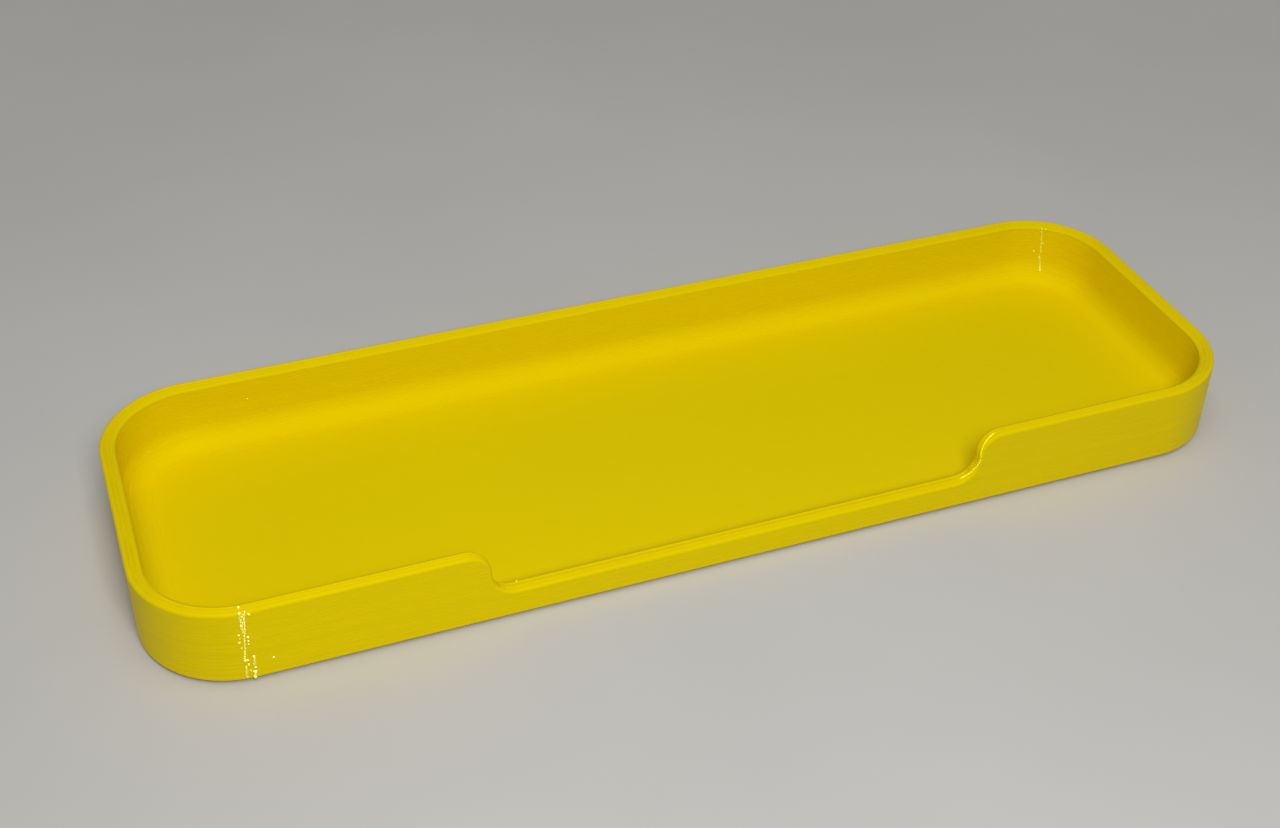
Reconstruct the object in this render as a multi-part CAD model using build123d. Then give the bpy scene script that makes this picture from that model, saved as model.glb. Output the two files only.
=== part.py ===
from build123d import *
import os

# Shallow pen tray, printed in one piece, that stands on four stick-on feet.
# Millimetres. +X runs along the tray, +Y to its back and +Z up. The origin lies under the middle of the
# tray, on the surface that the feet stand on. Each piece is written to parts/ under its own name.

# Tray: overall size and section
tray_length = 190.0
tray_width = 60.3
tray_height = 13.5
corner_radius = 15.5
wall = 2.5
floor = 2.0
cove_radius = 4.0
rim_round = 0.6
base_chamfer = 0.2

# Finger dip in the front wall: its length is taken at half height, its height is that of its floor
dip_length = 84.6
dip_height = 4.8
dip_end_radius = 4.0

# Stick-on feet, and the shallow sockets that place them under the corners
foot_diameter = 10.0
foot_thickness = 1.4
foot_chamfer = 0.3
socket_depth = 0.8
socket_clearance = 0.2

# Levels and places that follow from the sizes above
underside = foot_thickness - socket_depth
rim_level = underside + tray_height
dip_level = underside + dip_height
foot_x = tray_length / 2 - corner_radius
foot_y = tray_width / 2 - corner_radius

# Largest share of the dip's drop that one arc of its S-curves may take, and a tolerance for sorting faces
arc_share = 0.48
touching = 0.01


def rounded_block(inset, base):
    """Upright block on the tray's outline drawn in by inset, from the level base to the rim."""
    outline = RectangleRounded(
        tray_length - 2 * inset, tray_width - 2 * inset, corner_radius - inset
    )
    return extrude(Plane.XY.offset(base) * outline, rim_level - base)


def open_shell():
    """Tray with plain edges: a floor, upright walls, and a cove where they meet inside."""
    block = rounded_block(0, underside)
    block = chamfer(block.faces().sort_by(Axis.Z)[0].edges(), base_chamfer)
    well = rounded_block(wall, underside + floor)
    well = fillet(well.faces().sort_by(Axis.Z)[0].edges(), cove_radius)
    return block - well


def cut_dip(shell):
    """Lowers the front wall along the dip, with an S-curve of two equal arcs at each end."""
    reach = wall + cove_radius
    drop = rim_level - dip_level
    slot = Pos(0, -tray_width / 2, dip_level) * Box(
        dip_length, 2 * reach, 2 * drop, align=(Align.CENTER, Align.CENTER, Align.MIN)
    )
    shell -= slot
    end_edges = [
        edge
        for edge in shell.edges().filter_by(Axis.Y)
        if abs(abs(edge.center().X) - dip_length / 2) < touching and edge.center().Y < 0
    ]
    return fillet(end_edges, min(dip_end_radius, arc_share * drop))


def is_rim(face):
    """True for the rim's upper faces: its flat top, the dip's floor and the dip's curved ends."""
    middle = face.center()
    normal = face.normal_at(middle)
    flat_top = normal.Z > 1 - touching and middle.Z > dip_level - touching
    dip_end = abs(abs(middle.X) - dip_length / 2) < dip_end_radius and abs(normal.Y) < touching
    return flat_top or (dip_end and middle.Z > dip_level)


def round_rim(shell):
    """Rounds both edges of the rim, in one run round the tray and through the dip."""
    lips = [edge for face in shell.faces() if is_rim(face) for edge in face.edges()]
    rim_edges = [edge for edge in lips if lips.count(edge) == 1]
    return fillet(rim_edges, rim_round)


def foot_places():
    """Middle of each foot, under the centre of a corner's arc, with the foot's name."""
    for side_y, row in ((-1, "front"), (1, "back")):
        for side_x, end in ((-1, "left"), (1, "right")):
            yield f"foot_{row}_{end}", Pos(side_x * foot_x, side_y * foot_y, 0)


def tray():
    """Finished tray with its rounded rim and the four sockets in its underside."""
    shell = round_rim(cut_dip(open_shell()))
    socket = Cylinder(
        foot_diameter / 2 + socket_clearance,
        foot_thickness,
        align=(Align.CENTER, Align.CENTER, Align.MIN),
    )
    for _, place in foot_places():
        shell -= place * socket
    return shell


def foot():
    """Soft disc that fills a socket and stands proud of it, with a bevelled lower edge."""
    disc = Cylinder(
        foot_diameter / 2, foot_thickness, align=(Align.CENTER, Align.CENTER, Align.MIN)
    )
    return chamfer(disc.faces().sort_by(Axis.Z)[0].edges(), foot_chamfer)


os.makedirs("parts", exist_ok=True)
pieces = {"tray": tray()}
for name, place in foot_places():
    pieces[name] = place * foot()
for name, piece in pieces.items():
    export_step(piece, f"parts/{name}.step")
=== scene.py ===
import math
import random

import bmesh
import bpy
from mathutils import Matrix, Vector


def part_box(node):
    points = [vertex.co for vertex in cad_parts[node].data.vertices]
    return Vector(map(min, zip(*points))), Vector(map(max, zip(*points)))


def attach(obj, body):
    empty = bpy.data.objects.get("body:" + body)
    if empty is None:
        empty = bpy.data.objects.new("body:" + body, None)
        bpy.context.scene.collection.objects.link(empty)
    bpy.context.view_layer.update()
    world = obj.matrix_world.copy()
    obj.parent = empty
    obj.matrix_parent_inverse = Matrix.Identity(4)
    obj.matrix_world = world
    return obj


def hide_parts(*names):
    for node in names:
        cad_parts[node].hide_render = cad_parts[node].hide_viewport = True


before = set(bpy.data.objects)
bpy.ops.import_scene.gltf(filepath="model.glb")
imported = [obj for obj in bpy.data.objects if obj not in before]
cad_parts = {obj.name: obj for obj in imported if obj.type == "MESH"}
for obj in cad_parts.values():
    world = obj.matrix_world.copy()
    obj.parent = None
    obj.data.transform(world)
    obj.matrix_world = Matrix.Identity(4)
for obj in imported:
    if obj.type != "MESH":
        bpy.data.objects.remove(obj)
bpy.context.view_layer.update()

# Shallow pen tray, printed in one piece, on four stick-on feet.
# Metres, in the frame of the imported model: +X runs along the tray, +Y to its back and +Z up.
MM = 0.001

# The tray's own sizes. What the frame can tell is read from it.
tray_low, tray_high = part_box("tray")
UNDERSIDE = tray_low.z
RIM = tray_high.z
HALF_LENGTH = tray_high.x
HALF_WIDTH = tray_high.y
CORNER_RADIUS = 15.5 * MM
WALL = 2.5 * MM
FLOOR = UNDERSIDE + 2.0 * MM
COVE_RADIUS = 4.0 * MM
RIM_ROUND = 0.6 * MM
DIP_FLOOR = UNDERSIDE + 4.8 * MM
DIP_END = 42.3 * MM
DIP_END_RADIUS = 4.0 * MM

# Printed layers. The usual 0.2 mm is drawn as 0.3 mm, so that a layer is wider than a pixel.
LAYER_HEIGHT = 0.3 * MM
LAYER_COUNT = round((RIM - UNDERSIDE) / LAYER_HEIGHT)
LAYER_LINE = 0.05 * MM
LAYER_DEPTHS = (0.008 * MM, 0.012 * MM, 0.018 * MM)
LAYER_SEED = 11

# Beads that fill the floor and the underside, laid at 45 degrees, inside one outline bead.
# The usual 0.45 mm is drawn as 0.9 mm for the same reason.
FILL_PITCH = 0.9 * MM
FILL_DEPTH = 0.008 * MM
OUTLINE_BEAD = 0.25 * MM
FILL_STEP = 0.03 * MM

# Fine beads side by side on the rim's flat strip, counted from both its edges: a level crest, then the
# slope down into the groove between two beads. Each step is (inward, down) in mm.
RIM_CREST = (0.025, 0.0)
RIM_SLOPE = ((0.0425, 0.03), (0.04, 0.055))
RIM_GROOVES = 3

# The rim's top rolls off to its inner edge: where that starts, inward from the wall's outer face, its drop
# where the edge's own rounding starts, and how the drop grows along that. The cove below makes the rim
# wider in the dip, and the change is spread over the blend's height above the dip's floor.
ROLL_START = 1.15 * MM
ROLL_DROP = 0.17 * MM
ROLL_GROWTH = 1.2
DIP_WIDENING = 0.37 * MM
DIP_BLEND = 1.2 * MM

# Seam on the front wall, beside the front left corner, where each layer starts and ends: strands of molten
# plastic, with drops beside them. Each strand is (top, foot, width), where top and foot are (x, height),
# and each drop is (x, height, width). All are in mm, and heights count from the underside.
OUTER_STRANDS = (
    ((-80.65, 13.45), (-80.58, 9.7), 0.46),
    ((-79.92, 13.6), (-80.3, 9.4), 0.28),
    ((-80.42, 9.2), (-80.7, 5.6), 0.27),
    ((-80.8, 5.3), (-80.92, 4.0), 0.4),
    ((-80.86, 2.7), (-81.03, 0.5), 0.27),
    ((-79.52, 4.4), (-79.62, 3.0), 0.42),
    ((-79.68, 1.3), (-79.8, 0.35), 0.56),
)
OUTER_DROPS = (
    (-80.3, 12.7, 0.3),
    (-80.36, 11.5, 0.26),
    (-80.4, 10.5, 0.3),
    (-79.31, 12.93, 0.46),
    (-81.19, 9.22, 0.46),
    (-81.12, 8.5, 0.24),
    (-81.28, 7.75, 0.5),
    (-81.11, 6.56, 0.32),
    (-79.94, 8.54, 0.44),
    (-79.97, 7.7, 0.3),
    (-80.0, 7.1, 0.24),
    (-80.48, 3.96, 0.32),
    (-80.46, 3.03, 0.42),
    (-80.3, 1.71, 0.28),
    (-79.57, 2.2, 0.46),
    (-76.71, 3.34, 0.42),
)

# Seam inside the back right corner, in the same way, with degrees round the corner from +X in place of x
INNER_STRANDS = (((57.0, 13.0), (54.9, 8.3), 0.34), ((55.1, 6.6), (52.4, 4.0), 0.38))
INNER_DROPS = (
    (54.85, 7.97, 0.48),
    (53.6, 13.0, 0.32),
    (60.6, 7.8, 0.34),
    (53.9, 9.9, 0.28),
    (55.0, 7.25, 0.26),
)

# Specks elsewhere, in the same units: on the front right corner (degrees, height, width), inside the back
# wall (x, height, width), and on the dip's inner edge and on the rim above the seam (x, inward from the
# wall's outer face, width)
CORNER_SPECKS = ((-52.3, 7.37, 0.24), (-52.3, 6.43, 0.3), (-49.4, 4.6, 0.26))
BACK_SPECK = (-69.1, 9.1, 0.3)
DIP_SPECK = (-38.0, 2.12, 0.38)
RIM_SPECK = (-80.5, 1.26, 0.44)

# Layer ends that show as a bright row along the outer edge of the dip's right-hand end: how many there are
# on each of its two arcs, how far round an arc they run, how far inward from the wall's outer face the row
# lies on the upright and at its ends, and the width in mm, the droop and the facing of each
EDGE_BEADS = 18
EDGE_TURN = math.radians(72)
EDGE_INWARD = (0.12 * MM, 1.0 * MM)
EDGE_WIDTH = 0.3
EDGE_DROOP = 1.12
EDGE_FACING = Vector((-0.49, -0.87, 0))

# How the strands are drawn: beads of uneven size, melted together. The pitch is a share of the strand's
# width, the wander is in the strand's own unit along the wall, and the widths are shares of the strand's
# width. A droop is a bead's height as a share of its width.
STRAND_SEED = 5
STRAND_PITCH = 0.95
STRAND_WANDER = (-0.05, 0.05)
STRAND_WIDTHS = (0.85, 1.25)
OUTER_DROOPS = (0.9, 1.15)
INNER_DROOPS = (1.35, 1.7)
INNER_DROOP = 1.5
MELT_SIZE = 0.03 * MM

# One bead, drawn as a ball one millimetre across that is then pressed: its facets round and upright, where
# its lower end starts and how far that sags, where its back starts and how flat that is pressed, and how
# far it stands proud of a wall, as a share of its width
BEAD_ROUND = 16
BEAD_UPRIGHT = 10
BEAD_RADIUS = 0.5 * MM
BEAD_LOWER = -0.1 * MM
BEAD_SAG = (0, -0.18 * MM, -0.08 * MM)
BEAD_BACK = 0.1 * MM
BEAD_FLATTENING = (1, 0.4, 1)
BEAD_PROUD = 0.75

# The flat that the nozzle wipes on a bead's upper side: how steeply it looks up, and how far it lies from
# the middle of the ball, in mm
WIPE_RISE = math.radians(47)
WIPE_REACH = 0.22

# Tolerances: points closer than WELD are one, and faces within NEAR of a level lie on it. Flat faces have a
# normal whose Z is over LEVEL, and on walls it is under STEEP. Edges turned by more than SHARP stay crisp.
WELD = 0.001 * MM
NEAR = 0.004 * MM
LEVEL = 0.999
STEEP = 0.8
SHARP = math.radians(30)

# Camera of the photograph: its place, turn in degrees, lens and sensor in mm, and the nearest that it sees
CAMERA_PLACE = Vector((-95.0, -228.08, 195.41)) * MM
CAMERA_TURN = (52.86, -0.706, -20.576)
CAMERA_LENS = 50.395
SENSOR_WIDTH = 36.0
CLIP_START = 10 * MM

# Studio: place and side in metres and power in watts of the softbox above the camera and of the large one
# overhead, the strength of the white surround, and the backdrop's side in metres
KEY_PLACE = (-0.062, -0.268, 0.27)
KEY_SIZE = 0.10
KEY_POWER = 0.59
TOP_PLACE = (-0.07, -0.2, 1.1)
TOP_SIZE = 0.8
TOP_POWER = 3.5
SURROUND = 0.19
BACKDROP_SIZE = 12.0


def start_editing(piece):
    """Makes a piece the only one selected and opens it in edit mode, with nothing on it selected."""
    bpy.ops.object.select_all(action="DESELECT")
    piece.select_set(True)
    bpy.context.view_layer.objects.active = piece
    bpy.ops.object.mode_set(mode="EDIT")
    bpy.ops.mesh.select_all(action="DESELECT")


def stop_editing():
    """Closes edit mode."""
    bpy.ops.object.mode_set(mode="OBJECT")


def pick_faces(piece, wanted):
    """Selects the faces of the piece in edit mode whose middle and normal pass a test."""
    bpy.ops.mesh.select_mode(type="FACE")
    bpy.ops.mesh.select_all(action="DESELECT")
    mesh = bmesh.from_edit_mesh(piece.data)
    for face in mesh.faces:
        if wanted(face.calc_center_median(), face.normal):
            face.select_set(True)
    bmesh.update_edit_mesh(piece.data)


def pick_points(piece, wanted):
    """Selects the points of the piece in edit mode whose place and normal pass a test."""
    bpy.ops.mesh.select_mode(type="VERT")
    bpy.ops.mesh.select_all(action="DESELECT")
    mesh = bmesh.from_edit_mesh(piece.data)
    for point in mesh.verts:
        if wanted(point.co, point.normal):
            point.select_set(True)
    mesh.select_flush_mode()
    bmesh.update_edit_mesh(piece.data)


def beyond_centres(place):
    """How far a place lies beyond the centres of the corners' arcs, along the tray and across it."""
    return (
        abs(place.x) - (HALF_LENGTH - CORNER_RADIUS),
        abs(place.y) - (HALF_WIDTH - CORNER_RADIUS),
    )


def inside_outline(place):
    """How far a place lies inside the tray's outline, seen from above."""
    along, across = beyond_centres(place)
    return CORNER_RADIUS - math.hypot(max(along, 0), max(across, 0)) - min(max(along, across), 0)


def away_from_middle(place):
    """The way that the outer wall looks beside a place."""
    along, across = beyond_centres(place)
    outward = (math.copysign(max(along, 0), place.x), math.copysign(max(across, 0), place.y), 0)
    return Vector(outward).normalized()


def welded_copy(node, name):
    """A new piece with the surface of a node, its loose triangles welded into one skin."""
    piece = bpy.data.objects.new(name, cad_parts[node].data.copy())
    bpy.context.scene.collection.objects.link(piece)
    start_editing(piece)
    bpy.ops.mesh.select_all(action="SELECT")
    bpy.ops.mesh.customdata_custom_splitnormals_clear()
    bpy.ops.mesh.remove_doubles(threshold=WELD)
    stop_editing()
    return piece


def lies_on(level, up):
    """Test for flat faces at a level that look up (1) or down (-1)."""
    return lambda place, normal: abs(place.z - level) < NEAR and normal.z * up > LEVEL


def lay_fill(piece, level, up, across):
    """Scores the flat faces at a level into straight beads, square to the direction across."""
    half_bead = FILL_PITCH / 2
    reach = HALF_LENGTH * abs(across.x) + HALF_WIDTH * abs(across.y)
    pick_faces(piece, lies_on(level, up))
    bpy.ops.mesh.hide(unselected=True)
    for line in range(-int(reach / half_bead), int(reach / half_bead) + 1):
        bpy.ops.mesh.select_all(action="SELECT")
        bpy.ops.mesh.bisect(plane_co=across * line * half_bead, plane_no=across, threshold=WELD)

    def between_beads(place, normal):
        line = place.dot(across) / half_bead
        on_line = abs(line - round(line)) * half_bead < NEAR
        return normal.z * up > LEVEL and round(line) % 2 == 1 and on_line

    pick_points(piece, between_beads)
    bpy.ops.transform.translate(value=(0, 0, -up * FILL_DEPTH))
    bpy.ops.mesh.reveal(select=False)


def fill_floor(piece):
    """Lays the floor's fill a little lower than the outline bead that runs along the foot of the cove."""
    pick_faces(piece, lies_on(FLOOR, 1))
    bpy.ops.mesh.inset(thickness=OUTLINE_BEAD)
    bpy.ops.mesh.inset(thickness=FILL_STEP, depth=-FILL_STEP)
    lay_fill(piece, FLOOR - FILL_STEP, 1, Vector((1, 1, 0)).normalized())


def dip_widening(place):
    """How much wider the rim is at a place, in the dip and on the way down to it."""
    share = 1 - (place.z - DIP_FLOOR) / DIP_BLEND
    return DIP_WIDENING * min(max(share, 0), 1) if place.y < 0 else 0


def lay_rim_beads(piece):
    """Grooves the strip on top of the rim into fine beads that follow the outline."""
    outer_edge = RIM_ROUND - NEAR

    def on_strip(place, normal):
        inner_edge = WALL - RIM_ROUND + dip_widening(place) + NEAR
        return outer_edge < inside_outline(place) < inner_edge and place.z > DIP_FLOOR - NEAR

    pick_points(piece, on_strip)
    bpy.ops.mesh.select_mode(type="FACE")
    rise = [(inward, -down) for inward, down in reversed(RIM_SLOPE)]
    for inward, down in (RIM_CREST, *RIM_SLOPE, *rise) * RIM_GROOVES:
        bpy.ops.mesh.inset(thickness=inward * MM, depth=-down * MM)


def roll_inner_edge(piece):
    """Rolls the rim's top off to its inner edge. The foot of the edge's own rounding stays where it is."""
    mesh = bmesh.from_edit_mesh(piece.data)
    mesh.normal_update()
    for point in mesh.verts:
        inward = inside_outline(point.co) - dip_widening(point.co)
        if point.co.z < DIP_FLOOR - RIM_ROUND or not ROLL_START < inward < WALL + NEAR:
            continue
        outward = away_from_middle(point.co)
        lean = -point.normal.dot(outward)
        upward = point.normal + outward * lean
        if inward < WALL - RIM_ROUND + NEAR:
            share = (inward - ROLL_START) / (WALL - RIM_ROUND - ROLL_START)
            point.co -= upward.normalized() * ROLL_DROP * share**2
        else:
            point.co -= upward * ROLL_DROP * (1 + ROLL_GROWTH * lean)
    bmesh.update_edit_mesh(piece.data)


def press_layers(piece):
    """Scores the line between each two layers into every wall, some a little deeper than others."""
    draw = random.Random(LAYER_SEED)
    depth_of = {layer: draw.choice(LAYER_DEPTHS) for layer in range(1, LAYER_COUNT)}
    for layer in depth_of:
        # Both edges of the line, then its middle
        for side in (-1, 1, 0):
            level = UNDERSIDE + layer * LAYER_HEIGHT + side * LAYER_LINE / 2
            bpy.ops.mesh.select_all(action="SELECT")
            bpy.ops.mesh.bisect(plane_co=(0, 0, level), plane_no=(0, 0, 1), threshold=WELD)
    for depth in LAYER_DEPTHS:
        levels = [UNDERSIDE + layer * LAYER_HEIGHT for layer in depth_of if depth_of[layer] == depth]
        pick_points(
            piece,
            lambda place, normal: abs(normal.z) < STEEP
            and any(abs(place.z - level) < WELD for level in levels),
        )
        bpy.ops.transform.shrink_fatten(value=-depth)


def finish_skin(piece):
    """Smooths the curves of a piece and keeps its scored lines crisp."""
    bpy.ops.object.select_all(action="DESELECT")
    piece.select_set(True)
    bpy.context.view_layer.objects.active = piece
    bpy.ops.object.shade_smooth_by_angle(angle=SHARP)
    weigh = piece.modifiers.new("flat faces lead", "WEIGHTED_NORMAL")
    weigh.keep_sharp = True
    bpy.ops.object.modifier_apply(modifier=weigh.name)


def printed_tray():
    """The tray's shell with the marks of its printing."""
    piece = welded_copy("tray", "printed_tray")
    start_editing(piece)
    fill_floor(piece)
    lay_fill(piece, UNDERSIDE, -1, Vector((1, -1, 0)).normalized())
    lay_rim_beads(piece)
    roll_inner_edge(piece)
    press_layers(piece)
    stop_editing()
    finish_skin(piece)
    return piece


def bead_blank():
    """One bead of plastic: a ball pressed flat behind, with a full, drooping lower end and a wiped top."""
    bpy.ops.object.select_all(action="DESELECT")
    bpy.ops.mesh.primitive_uv_sphere_add(segments=BEAD_ROUND, ring_count=BEAD_UPRIGHT, radius=BEAD_RADIUS)
    blank = bpy.context.object
    start_editing(blank)
    pick_points(blank, lambda place, normal: place.z < BEAD_LOWER)
    bpy.ops.transform.translate(value=BEAD_SAG)
    pick_points(blank, lambda place, normal: place.y > BEAD_BACK)
    bpy.ops.transform.resize(value=BEAD_FLATTENING)
    wiped = Vector((0, -BEAD_PROUD * math.cos(WIPE_RISE), math.sin(WIPE_RISE))).normalized()
    bpy.ops.mesh.select_all(action="SELECT")
    bpy.ops.mesh.bisect(
        plane_co=wiped * WIPE_REACH * MM, plane_no=wiped, use_fill=True, clear_outer=True
    )
    stop_editing()
    return blank


def set_bead(blank, place, outward, width, height):
    """A copy of the bead, half sunk in a wall at a place, with its round side outward. Sizes are in mm."""
    bead = bpy.data.objects.new("bead", blank.data.copy())
    bpy.context.scene.collection.objects.link(bead)
    bead.location = place
    bead.rotation_euler = (0, 0, math.atan2(outward.x, -outward.y))
    bead.scale = (width, width * BEAD_PROUD, height)
    return bead


def front_wall(x, height):
    """Place on the front wall's outer face and the way it looks, also on its turn into the left corner."""
    past = min(x * MM + HALF_LENGTH - CORNER_RADIUS, 0)
    outward = Vector((past, -math.sqrt(CORNER_RADIUS**2 - past**2), 0)).normalized()
    y = outward.y * CORNER_RADIUS - (HALF_WIDTH - CORNER_RADIUS)
    return Vector((x * MM, y, UNDERSIDE + height * MM)), outward


def corner_wall(degrees, height, side_y, radius, facing):
    """Place on the round wall of a right-hand corner and the way it looks, facing out (1) or in (-1)."""
    turn = math.radians(degrees)
    spoke = Vector((math.cos(turn), math.sin(turn), 0))
    centre = Vector((HALF_LENGTH - CORNER_RADIUS, side_y * (HALF_WIDTH - CORNER_RADIUS), UNDERSIDE))
    return centre + spoke * radius + Vector((0, 0, height * MM)), spoke * facing


def outer_corner(degrees, height):
    """Place on the outside of the front right corner."""
    return corner_wall(degrees, height, side_y=-1, radius=CORNER_RADIUS, facing=1)


def inner_corner(degrees, height):
    """Place on the inside of the back right corner, also where it turns into the cove."""
    past = max(FLOOR + COVE_RADIUS - UNDERSIDE - height * MM, 0)
    drawn_in = COVE_RADIUS - math.sqrt(COVE_RADIUS**2 - past**2)
    return corner_wall(degrees, height, side_y=1, radius=CORNER_RADIUS - WALL - drawn_in, facing=-1)


def inner_back(x, height):
    """Place on the inside of the back wall."""
    return Vector((x * MM, HALF_WIDTH - WALL, UNDERSIDE + height * MM)), Vector((0, -1, 0))


def on_front_rim(x, inward, level):
    """Place on top of the front wall, for a bead that lies there."""
    return Vector((x * MM, inward * MM - HALF_WIDTH, level)), Vector((0, -1, 0))


def lay_strand(blank, wall, strand, droops, draw):
    """A row of beads of uneven size between two places on a wall."""
    (start, top), (end, foot), size = strand
    count = round((top - foot) / (size * STRAND_PITCH))
    beads = []
    for step in range(count + 1):
        share = step / count
        along = start + (end - start) * share + draw.uniform(*STRAND_WANDER)
        place, outward = wall(along, top + (foot - top) * share)
        width = size * draw.uniform(*STRAND_WIDTHS)
        beads.append(set_bead(blank, place, outward, width, width * draw.uniform(*droops)))
    return beads


def lay_drops(blank, wall, drops, droop=1):
    """Single beads on a wall."""
    return [set_bead(blank, *wall(along, height), size, size * droop) for along, height, size in drops]


def melt_together(beads, name):
    """Joins beads into one piece and fuses them where they overlap."""
    bpy.ops.object.select_all(action="DESELECT")
    for bead in beads:
        bead.select_set(True)
    bpy.context.view_layer.objects.active = beads[0]
    bpy.ops.object.transform_apply(location=True, rotation=True, scale=True)
    bpy.ops.object.join()
    piece = bpy.context.object
    piece.name = name
    piece.data.remesh_voxel_size = MELT_SIZE
    bpy.ops.object.voxel_remesh()
    bpy.ops.object.shade_smooth()
    return piece


def outer_seam(blank, draw):
    """The seam on the front wall, with the drop that lies on the rim above it."""
    beads = lay_drops(blank, front_wall, OUTER_DROPS)
    for strand in OUTER_STRANDS:
        beads += lay_strand(blank, front_wall, strand, OUTER_DROOPS, draw)
    x, inward, size = RIM_SPECK
    beads.append(set_bead(blank, *on_front_rim(x, inward, RIM), size, size))
    return melt_together(beads, "outer_seam")


def inner_seam(blank, draw):
    """The seam inside the back right corner."""
    beads = lay_drops(blank, inner_corner, INNER_DROPS, INNER_DROOP)
    for strand in INNER_STRANDS:
        beads += lay_strand(blank, inner_corner, strand, INNER_DROOPS, draw)
    return melt_together(beads, "inner_seam")


def edge_place(side, turn):
    """Place on the outer edge of the dip's right-hand end: a turn up (1) or down (-1) from the upright."""
    on_upright, at_end = EDGE_INWARD
    inward = on_upright + (at_end - on_upright) * turn / EDGE_TURN
    lean = max(1 - inward / RIM_ROUND, 0)
    sunk = RIM_ROUND * (1 - math.sqrt(1 - lean**2))
    middle = (RIM + DIP_FLOOR) / 2
    half_upright = (RIM - DIP_FLOOR) / 2 - DIP_END_RADIUS
    x = DIP_END + side * DIP_END_RADIUS * (1 - math.cos(turn)) + sunk * math.cos(turn)
    z = middle + side * (half_upright + DIP_END_RADIUS * math.sin(turn)) - sunk * math.sin(turn)
    return Vector((x, inward - HALF_WIDTH, z))


def edge_beads(blank, draw):
    """The row of layer ends along the edge of the dip's right-hand end."""
    beads = []
    for side in (1, -1):
        for step in range(EDGE_BEADS):
            place = edge_place(side, EDGE_TURN * step / EDGE_BEADS)
            width = EDGE_WIDTH * draw.uniform(*STRAND_WIDTHS)
            beads.append(set_bead(blank, place, EDGE_FACING, width, width * EDGE_DROOP))
    return melt_together(beads, "edge_beads")


def print_specks(blank):
    """The stray specks elsewhere on the print."""
    beads = lay_drops(blank, outer_corner, CORNER_SPECKS)
    beads += lay_drops(blank, inner_back, [BACK_SPECK])
    x, inward, size = DIP_SPECK
    beads.append(set_bead(blank, *on_front_rim(x, inward, DIP_FLOOR), size, size))
    return melt_together(beads, "print_specks")


def linear(colour):
    """A colour written as sRGB hex, as the linear values that a shader takes, by the sRGB curve."""
    parts = [int(colour[place:place + 2], 16) / 255 for place in (1, 3, 5)]
    return [p / 12.92 if p <= 0.04045 else ((p + 0.055) / 1.055) ** 2.4 for p in parts] + [1.0]


def add_node(tree, kind, settings=None, links=None):
    """Adds a node, gives it settings and input values, and links inputs to other nodes' outputs."""
    node = tree.nodes.new(kind)
    for name, value in (settings or {}).items():
        if name in node.inputs:
            node.inputs[name].default_value = value
        elif name == "stops":
            # A new ramp has two stops of its own
            for place, _ in value[2:]:
                node.color_ramp.elements.new(place)
            for element, (place, colour) in zip(node.color_ramp.elements, value):
                element.position = place
                element.color = linear(colour)
        else:
            setattr(node, name, value)
    for name, output in (links or {}).items():
        tree.links.new(output, node.inputs[name])
    return node


def new_material(name):
    """A material whose node tree is empty, and that tree."""
    material = bpy.data.materials.new(name)
    material.use_nodes = True
    material.node_tree.nodes.clear()
    return material, material.node_tree


def even_noise(tree, size, detail):
    """Noise on Object coordinates, with spots of one size in metres."""
    place = add_node(tree, "ShaderNodeTexCoord")
    noise = add_node(
        tree,
        "ShaderNodeTexNoise",
        {"Scale": 1 / size, "Detail": detail},
        {"Vector": place.outputs["Object"]},
    )
    return noise.outputs["Fac"]


def level_noise(tree, length, height, detail):
    """Noise on Object coordinates, with spots drawn out level, along the layers. Sizes are in metres."""
    place = add_node(tree, "ShaderNodeTexCoord")
    stretch = add_node(
        tree,
        "ShaderNodeMapping",
        {"Scale": (1 / length, 1 / length, 1 / height)},
        {"Vector": place.outputs["Object"]},
    )
    noise = add_node(
        tree,
        "ShaderNodeTexNoise",
        {"Scale": 1.0, "Detail": detail},
        {"Vector": stretch.outputs["Vector"]},
    )
    return noise.outputs["Fac"]


def tone(tree, noise, *stops):
    """Colour that follows a noise. Each stop is a value of the noise and the colour there."""
    return add_node(tree, "ShaderNodeValToRGB", {"stops": stops}, {"Fac": noise}).outputs["Color"]


def sheen(tree, noise, low, high):
    """Roughness that follows a noise."""
    spread = add_node(tree, "ShaderNodeMapRange", {"To Min": low, "To Max": high}, {"Value": noise})
    return spread.outputs["Result"]


def relief(tree, noise, strength, depth):
    """Fine bumps that follow a noise. The depth is in metres."""
    bump = add_node(tree, "ShaderNodeBump", {"Strength": strength, "Distance": depth}, {"Height": noise})
    return bump.outputs["Normal"]


def finish_material(tree, settings, links):
    """Adds the surface, with its constants and what follows a noise, and joins it to the output."""
    surface = add_node(tree, "ShaderNodeBsdfPrincipled", settings, links)
    add_node(tree, "ShaderNodeOutputMaterial", None, {"Surface": surface.outputs["BSDF"]})


def printed_pla():
    """PLA, printed in layers: a saturated satin yellow, with bands of a few layers a shade apart."""
    material, tree = new_material("printed_pla")
    bands = level_noise(tree, length=60 * MM, height=1.2 * MM, detail=3.0)
    # Streaks as high as one drawn layer, which make the sheen of a wall uneven along it
    streaks = level_noise(tree, length=3 * MM, height=LAYER_HEIGHT, detail=2.0)
    finish_material(
        tree,
        {"IOR": 1.46, "Specular IOR Level": 0.14, "Specular Tint": linear("#FFE800")},
        {
            "Base Color": tone(tree, bands, (0.3, "#F1D700"), (0.7, "#F3D900")),
            "Roughness": sheen(tree, bands, low=0.46, high=0.52),
            "Normal": relief(tree, streaks, strength=1.0, depth=0.07 * MM),
        },
    )
    return material


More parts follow.
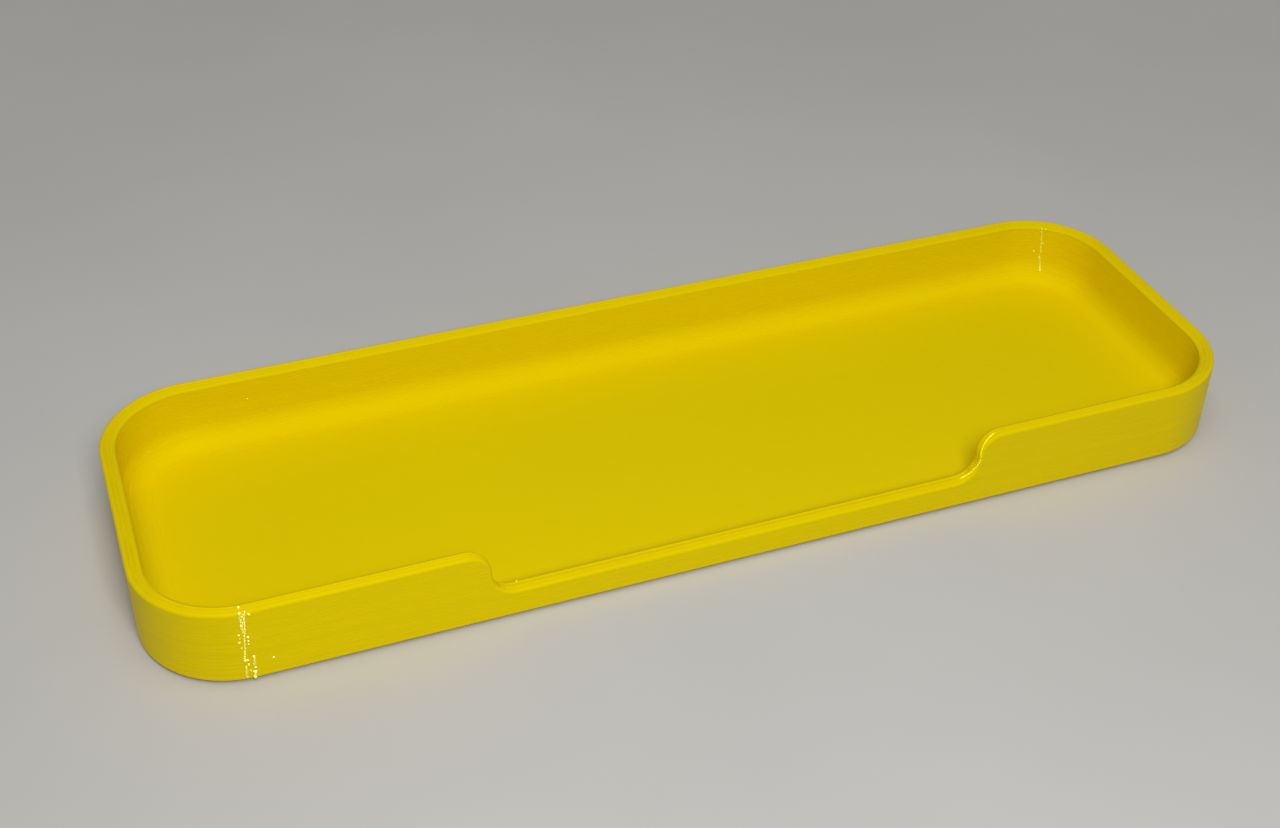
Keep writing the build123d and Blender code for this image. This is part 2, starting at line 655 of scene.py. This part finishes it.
def seam_pla(name, glint):
    """PLA beads at a print seam: smooth and glossy, painted paler than the wall: partly thin melt, partly
    painted glint highlight.

    The IOR is higher than PLA's own, so that glints smaller than a pixel still show. Glint is their colour.
    """
    material, tree = new_material(name)
    blotches = even_noise(tree, size=0.5 * MM, detail=1.0)
    finish_material(
        tree,
        {"IOR": 1.8, "Specular Tint": linear(glint)},
        {
            # Paler than the wall: partly the thin melt's own tone, partly a painted highlight that stands
            # in for the beads' glints
            "Base Color": tone(tree, blotches, (0.35, "#FFEA00"), (0.5, "#FFF01E"), (0.65, "#FFF560")),
            "Roughness": sheen(tree, blotches, low=0.16, high=0.2),
            "Normal": relief(tree, blotches, strength=1.0, depth=0.004 * MM),
        },
    )
    return material


def foot_rubber():
    """Nitrile rubber, die-cut from sheet: black, matt, with a fine dusty grain."""
    material, tree = new_material("foot_rubber")
    grain = even_noise(tree, size=0.4 * MM, detail=2.0)
    finish_material(
        tree,
        {"IOR": 1.52},
        {
            "Base Color": tone(tree, grain, (0.35, "#161617"), (0.75, "#262628")),
            "Roughness": sheen(tree, grain, low=0.68, high=0.82),
            "Normal": relief(tree, grain, strength=0.4, depth=0.05 * MM),
        },
    )
    return material


def pale_paper():
    """Pale paper, rolled out as a backdrop: matt, with a faint cloudy tone."""
    material, tree = new_material("pale_paper")
    clouds = even_noise(tree, size=90 * MM, detail=4.0)
    finish_material(
        tree,
        None,
        {
            "Base Color": tone(tree, clouds, (0.3, "#CDCBC7"), (0.7, "#D3D1CD")),
            "Roughness": sheen(tree, clouds, low=0.87, high=0.93),
        },
    )
    return material


def dress(piece, material):
    """Gives a piece one material all over."""
    piece.data.materials.clear()
    piece.data.materials.append(material)


def softbox(name, place, size, power):
    """A square lamp at a place, turned to the tray, and out of the camera's sight."""
    lamp = bpy.data.lights.new(name, "AREA")
    lamp.shape = "SQUARE"
    lamp.size = size
    lamp.energy = power
    holder = bpy.data.objects.new(name, lamp)
    holder.location = place
    holder.rotation_euler = (-Vector(place)).to_track_quat("-Z", "Y").to_euler()
    holder.visible_camera = False
    bpy.context.scene.collection.objects.link(holder)


def light_studio():
    """A small softbox above the camera, a large one overhead, and an even pale surround."""
    softbox("key_softbox", KEY_PLACE, KEY_SIZE, KEY_POWER)
    softbox("top_softbox", TOP_PLACE, TOP_SIZE, TOP_POWER)
    world = bpy.data.worlds.new("pale_surround")
    world.use_nodes = True
    surround = world.node_tree.nodes["Background"]
    surround.inputs["Color"].default_value = linear("#FFFFFF")
    surround.inputs["Strength"].default_value = SURROUND
    bpy.context.scene.world = world
    bpy.context.scene.view_settings.view_transform = "Standard"


def lay_floor():
    """The plain surface that the tray stands on."""
    bpy.ops.object.select_all(action="DESELECT")
    bpy.ops.mesh.primitive_plane_add(size=BACKDROP_SIZE, location=(0, 0, 0))
    backdrop = bpy.context.object
    backdrop.name = "backdrop"
    dress(backdrop, pale_paper())


def place_camera():
    """Camera at the photograph's place, turn and focal length."""
    lens = bpy.data.cameras.new("camera")
    lens.lens = CAMERA_LENS
    lens.sensor_width = SENSOR_WIDTH
    lens.sensor_fit = "HORIZONTAL"
    lens.clip_start = CLIP_START
    camera = bpy.data.objects.new("camera", lens)
    camera.location = CAMERA_PLACE
    camera.rotation_euler = [math.radians(turn) for turn in CAMERA_TURN]
    bpy.context.scene.collection.objects.link(camera)
    bpy.context.scene.camera = camera


tray = printed_tray()
dress(tray, printed_pla())
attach(tray, "root")
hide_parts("tray")

bead = bead_blank()
strand_draw = random.Random(STRAND_SEED)
seam_plastic = seam_pla("seam_pla", "#FFFCD8")
edge_plastic = seam_pla("edge_pla", "#FFE800")
marks = (
    (outer_seam(bead, strand_draw), seam_plastic),
    (inner_seam(bead, strand_draw), seam_plastic),
    (print_specks(bead), seam_plastic),
    (edge_beads(bead, strand_draw), edge_plastic),
)
for piece, plastic in marks:
    dress(piece, plastic)
    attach(piece, "root")
bpy.data.objects.remove(bead)

rubber = foot_rubber()
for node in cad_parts:
    if node.startswith("foot_"):
        dress(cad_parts[node], rubber)

lay_floor()
light_studio()
place_camera()
